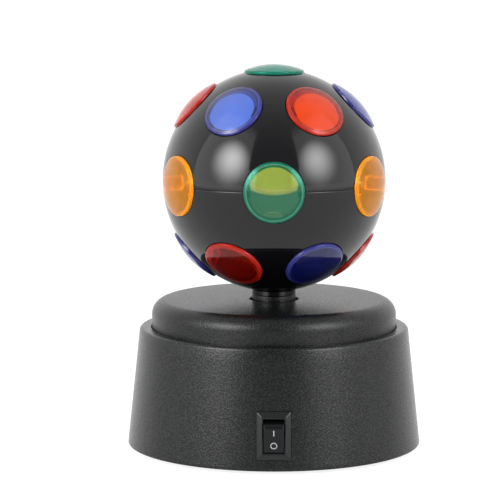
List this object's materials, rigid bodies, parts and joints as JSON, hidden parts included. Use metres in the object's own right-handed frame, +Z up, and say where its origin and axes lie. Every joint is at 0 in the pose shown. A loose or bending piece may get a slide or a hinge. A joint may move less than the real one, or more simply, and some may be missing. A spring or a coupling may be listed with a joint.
{
  "type": "rotating stage light",
  "caption": "Battery table lamp: a lens-studded black ball turned by a geared motor on a round stepped base with a rocker switch.",
  "frame": {"origin": "on the surface that the rubber feet stand on, under the ball, on the axis that the ball turns about", "axes": "+Z up along the ball's axis; -Y to the front, where the rocker switch is; +X to the right seen from the front"},
  "size_m": [0.132, 0.1336, 0.1726],
  "materials": {
    "drum_plastic": "fine moulded grain, charcoal black",
    "cap_plastic": "fine satin grain, charcoal black",
    "ball_plastic": "polished black",
    "plate_plastic": "matt moulded black",
    "switch_plastic": "satin black",
    "rocker_plastic": "satin black with white marks",
    "rubber": "matt black",
    "steel": "zinc plated",
    "brass": "stamped",
    "acetal": "natural white",
    "frame_plastic": "moulded dark grey",
    "cell_sleeve": "plain printed sleeve",
    "circuit_board": "solder mask green",
    "lead_sleeve": "soft black sleeving",
    "led_resin": "clear epoxy",
    "green_lens": "clear tinted, teal green",
    "orange_lens": "clear tinted, orange",
    "red_lens": "clear tinted, red",
    "blue_lens": "clear tinted, blue violet"
  },
  "bodies": {
    "base": {"drum_housing": "drum_plastic", "top_cap": "cap_plastic", "bottom_plate": "plate_plastic", "rubber_foot_1": "rubber", "rubber_foot_2": "rubber", "rubber_foot_3": "rubber", "rubber_foot_4": "rubber", "plate_screw_1": "steel", "plate_screw_2": "steel", "plate_screw_3": "steel", "battery_door": "plate_plastic", "battery_1": "cell_sleeve", "battery_2": "cell_sleeve", "battery_3": "cell_sleeve", "plus_contact": "steel", "minus_contact": "steel", "bridge_contact_left": "steel", "bridge_contact_right": "steel", "switch_body": "switch_plastic", "switch_terminal_1": "brass", "switch_terminal_2": "brass", "gear_deck": "frame_plastic", "deck_screw_1": "steel", "deck_screw_2": "steel", "deck_screw_3": "steel", "gear_motor": "steel", "bearing_bush": "acetal", "thrust_washer": "acetal", "lamp_post": "frame_plastic", "lamp_board": "circuit_board", "led_lamp": "led_resin", "battery_lead": "lead_sleeve", "motor_lead": "lead_sleeve", "lamp_lead": "lead_sleeve"},
    "ball": {"upper_hemisphere": "ball_plastic", "lower_hemisphere": "ball_plastic", "spindle": "ball_plastic", "spindle_nut": "steel", "drive_gear": "acetal", "lens_top": "green_lens", "lens_upper_1": "red_lens", "lens_upper_2": "blue_lens", "lens_upper_3": "red_lens", "lens_upper_4": "blue_lens", "lens_upper_5": "red_lens", "lens_upper_6": "blue_lens", "lens_belt_1": "green_lens", "lens_belt_2": "orange_lens", "lens_belt_3": "green_lens", "lens_belt_4": "orange_lens", "lens_belt_5": "green_lens", "lens_belt_6": "orange_lens", "lens_lower_1": "blue_lens", "lens_lower_2": "red_lens", "lens_lower_3": "blue_lens", "lens_lower_4": "red_lens", "lens_lower_5": "blue_lens", "lens_lower_6": "red_lens"},
    "rocker": {"switch_rocker": "rocker_plastic"},
    "pinion": {"pinion": "acetal"}
  },
  "joints": [
    {"name": "ball_spin", "type": "hinge", "parent": "base", "child": "ball", "pos_m": [0, 0, 0.1206], "axis": [0, 0, 1], "continuous": true},
    {"name": "pinion_spin", "type": "hinge", "parent": "base", "child": "pinion", "pos_m": [0, 0.03, 0.0475], "axis": [0, 0, 1], "continuous": true},
    {"name": "switch_rock", "type": "hinge", "parent": "base", "child": "rocker", "pos_m": [0, -0.06024, 0.01646], "axis": [-1, 0, 0], "range_deg": [0, 22]}
  ],
  "couplings": [
    {"joint": "pinion_spin", "follows": "ball_spin", "ratio": -4}
  ]
}
